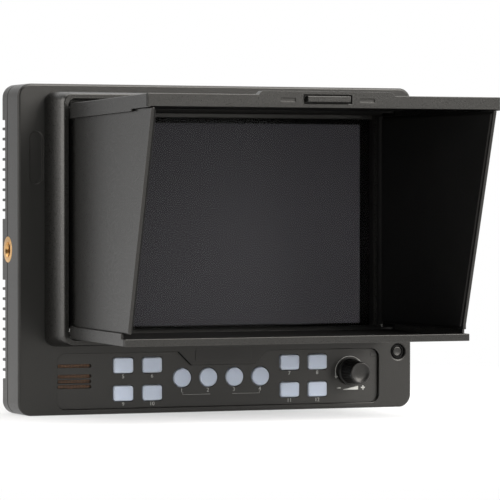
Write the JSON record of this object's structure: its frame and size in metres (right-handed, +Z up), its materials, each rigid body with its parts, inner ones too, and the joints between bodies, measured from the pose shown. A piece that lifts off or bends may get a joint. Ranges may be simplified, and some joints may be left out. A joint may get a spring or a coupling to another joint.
{
  "type": "camera field monitor with sun hood",
  "caption": "Flat camera monitor with a framed screen, a row of keys and a knob below it, and a four-flap folding sun hood on a lift-off frame.",
  "frame": {"origin": "mouth of the tripod thread in the middle of the underside", "axes": "+X to the viewer's right, +Y out of the back, +Z up; the screen faces -Y"},
  "size_m": [0.196, 0.1588, 0.151],
  "materials": {
    "case_plastic": "fine textured charcoal",
    "hood_plastic": "fine textured charcoal",
    "felt": "black flock",
    "window": "clear",
    "lcd": "smooth dark",
    "pressed_steel": "bright",
    "circuit_board": "varnished",
    "brass": "turned",
    "steel": "bright",
    "black_plastic": "satin",
    "key_cap": "translucent satin",
    "copper_mesh": "woven",
    "plaque": "satin",
    "lens": "clear",
    "black_steel": "black oxide"
  },
  "bodies": {
    "housing": {"front_bezel": "case_plastic", "mid_frame": "case_plastic", "rear_cover": "case_plastic", "window_glass": "window", "lcd_cell": "lcd", "backlight_tray": "pressed_steel", "main_board": "circuit_board", "board_posts": "brass", "key_board": "circuit_board", "tact_switches": "black_plastic", "key_panel": "case_plastic", "blank_plaque": "plaque", "speaker": "black_plastic", "speaker_mesh": "copper_mesh", "status_lens": "lens", "left_bush": "brass", "right_bush": "brass", "bottom_bush": "brass", "flip_ring": "steel", "encoder_body": "pressed_steel", "battery_plate": "black_plastic", "battery_contacts": "brass", "hdmi_in": "pressed_steel", "hdmi_out": "pressed_steel", "dc_socket": "black_plastic", "audio_socket": "black_plastic", "power_switch": "pressed_steel", "rear_screws": "black_steel"},
    "hood": {"hood_frame": "hood_plastic", "top_pin": "steel", "bottom_pin": "steel", "side_pins": "steel", "side_springs": "steel"},
    "top_flap": {"top_flap": "hood_plastic", "top_felt": "felt"},
    "bottom_flap": {"bottom_flap": "hood_plastic", "bottom_felt": "felt"},
    "left_flap": {"left_flap": "hood_plastic", "left_felt": "felt"},
    "right_flap": {"right_flap": "hood_plastic", "right_felt": "felt"},
    "latch": {"latch": "hood_plastic"},
    "encoder_plunger": {"encoder_plunger": "brass"},
    "knob": {"knob": "black_plastic", "encoder_shaft": "steel"},
    "battery_release": {"battery_release": "black_plastic"},
    "power_slider": {"power_slider": "black_plastic"},
    "flip_key": {"flip_key": "black_plastic"},
    "key_1": {"key_1": "key_cap"},
    "key_2": {"key_2": "key_cap"},
    "key_3": {"key_3": "key_cap"},
    "key_4": {"key_4": "key_cap"},
    "key_5": {"key_5": "key_cap"},
    "key_6": {"key_6": "key_cap"},
    "key_7": {"key_7": "key_cap"},
    "key_8": {"key_8": "key_cap"},
    "round_key_1": {"round_key_1": "key_cap"},
    "round_key_2": {"round_key_2": "key_cap"},
    "round_key_3": {"round_key_3": "key_cap"},
    "round_key_4": {"round_key_4": "key_cap"}
  },
  "joints": [
    {"name": "hood_lift", "type": "slide", "parent": "housing", "child": "hood", "axis": [0, 0, 1], "range_m": [0, 0.005]},
    {"name": "left_flap_fold", "type": "hinge", "parent": "hood", "child": "left_flap", "pos_m": [-0.0772, -0.024, 0.089], "axis": [0, 0, 1], "range_deg": [0, 91], "stiffness_Nm_per_rad": 0.01, "springref_deg": -20.05},
    {"name": "right_flap_fold", "type": "hinge", "parent": "hood", "child": "right_flap", "pos_m": [0.0772, -0.0271, 0.089], "axis": [0, 0, -1], "range_deg": [0, 91], "stiffness_Nm_per_rad": 0.01, "springref_deg": -20.05},
    {"name": "top_flap_lift", "type": "hinge", "parent": "hood", "child": "top_flap", "pos_m": [0, -0.0326, 0.1395], "axis": [-1, 0, 0], "range_deg": [0, 12]},
    {"name": "bottom_flap_drop", "type": "hinge", "parent": "hood", "child": "bottom_flap", "pos_m": [0, -0.0316, 0.0377], "axis": [1, 0, 0], "range_deg": [0, 6]},
    {"name": "latch_press", "type": "slide", "parent": "top_flap", "child": "latch", "axis": [0, 1, 0], "range_m": [0, 0.001], "stiffness_N_per_m": 300, "springref_m": -0.001},
    {"name": "knob_press", "type": "slide", "parent": "housing", "child": "encoder_plunger", "axis": [0, 1, 0], "range_m": [0, 0.0006], "stiffness_N_per_m": 1500, "springref_m": -0.001},
    {"name": "knob_turn", "type": "hinge", "parent": "encoder_plunger", "child": "knob", "pos_m": [0.0669, -0.021, 0.0171], "axis": [0, -1, 0], "continuous": true},
    {"name": "battery_release_press", "type": "slide", "parent": "housing", "child": "battery_release", "axis": [0, -1, 0], "range_m": [0, 0.0012], "stiffness_N_per_m": 400, "springref_m": -0.001},
    {"name": "power_slide", "type": "slide", "parent": "housing", "child": "power_slider", "axis": [1, 0, 0], "range_m": [0, 0.002]},
    {"name": "flip_key_press", "type": "slide", "parent": "housing", "child": "flip_key", "axis": [0, 1, 0], "range_m": [0, 0.0007], "stiffness_N_per_m": 800, "springref_m": -0.0006},
    {"name": "key_1_press", "type": "slide", "parent": "housing", "child": "key_1", "axis": [0, 1, 0], "range_m": [0, 0.0007], "stiffness_N_per_m": 800, "springref_m": -0.0006},
    {"name": "key_2_press", "type": "slide", "parent": "housing", "child": "key_2", "axis": [0, 1, 0], "range_m": [0, 0.0007], "stiffness_N_per_m": 800, "springref_m": -0.0006},
    {"name": "key_3_press", "type": "slide", "parent": "housing", "child": "key_3", "axis": [0, 1, 0], "range_m": [0, 0.0007], "stiffness_N_per_m": 800, "springref_m": -0.0006},
    {"name": "key_4_press", "type": "slide", "parent": "housing", "child": "key_4", "axis": [0, 1, 0], "range_m": [0, 0.0007], "stiffness_N_per_m": 800, "springref_m": -0.0006},
    {"name": "key_5_press", "type": "slide", "parent": "housing", "child": "key_5", "axis": [0, 1, 0], "range_m": [0, 0.0007], "stiffness_N_per_m": 800, "springref_m": -0.0006},
    {"name": "key_6_press", "type": "slide", "parent": "housing", "child": "key_6", "axis": [0, 1, 0], "range_m": [0, 0.0007], "stiffness_N_per_m": 800, "springref_m": -0.0006},
    {"name": "key_7_press", "type": "slide", "parent": "housing", "child": "key_7", "axis": [0, 1, 0], "range_m": [0, 0.0007], "stiffness_N_per_m": 800, "springref_m": -0.0006},
    {"name": "key_8_press", "type": "slide", "parent": "housing", "child": "key_8", "axis": [0, 1, 0], "range_m": [0, 0.0007], "stiffness_N_per_m": 800, "springref_m": -0.0006},
    {"name": "round_key_1_press", "type": "slide", "parent": "housing", "child": "round_key_1", "axis": [0, 1, 0], "range_m": [0, 0.0007], "stiffness_N_per_m": 800, "springref_m": -0.0006},
    {"name": "round_key_2_press", "type": "slide", "parent": "housing", "child": "round_key_2", "axis": [0, 1, 0], "range_m": [0, 0.0007], "stiffness_N_per_m": 800, "springref_m": -0.0006},
    {"name": "round_key_3_press", "type": "slide", "parent": "housing", "child": "round_key_3", "axis": [0, 1, 0], "range_m": [0, 0.0007], "stiffness_N_per_m": 800, "springref_m": -0.0006},
    {"name": "round_key_4_press", "type": "slide", "parent": "housing", "child": "round_key_4", "axis": [0, 1, 0], "range_m": [0, 0.0007], "stiffness_N_per_m": 800, "springref_m": -0.0006}
  ]
}
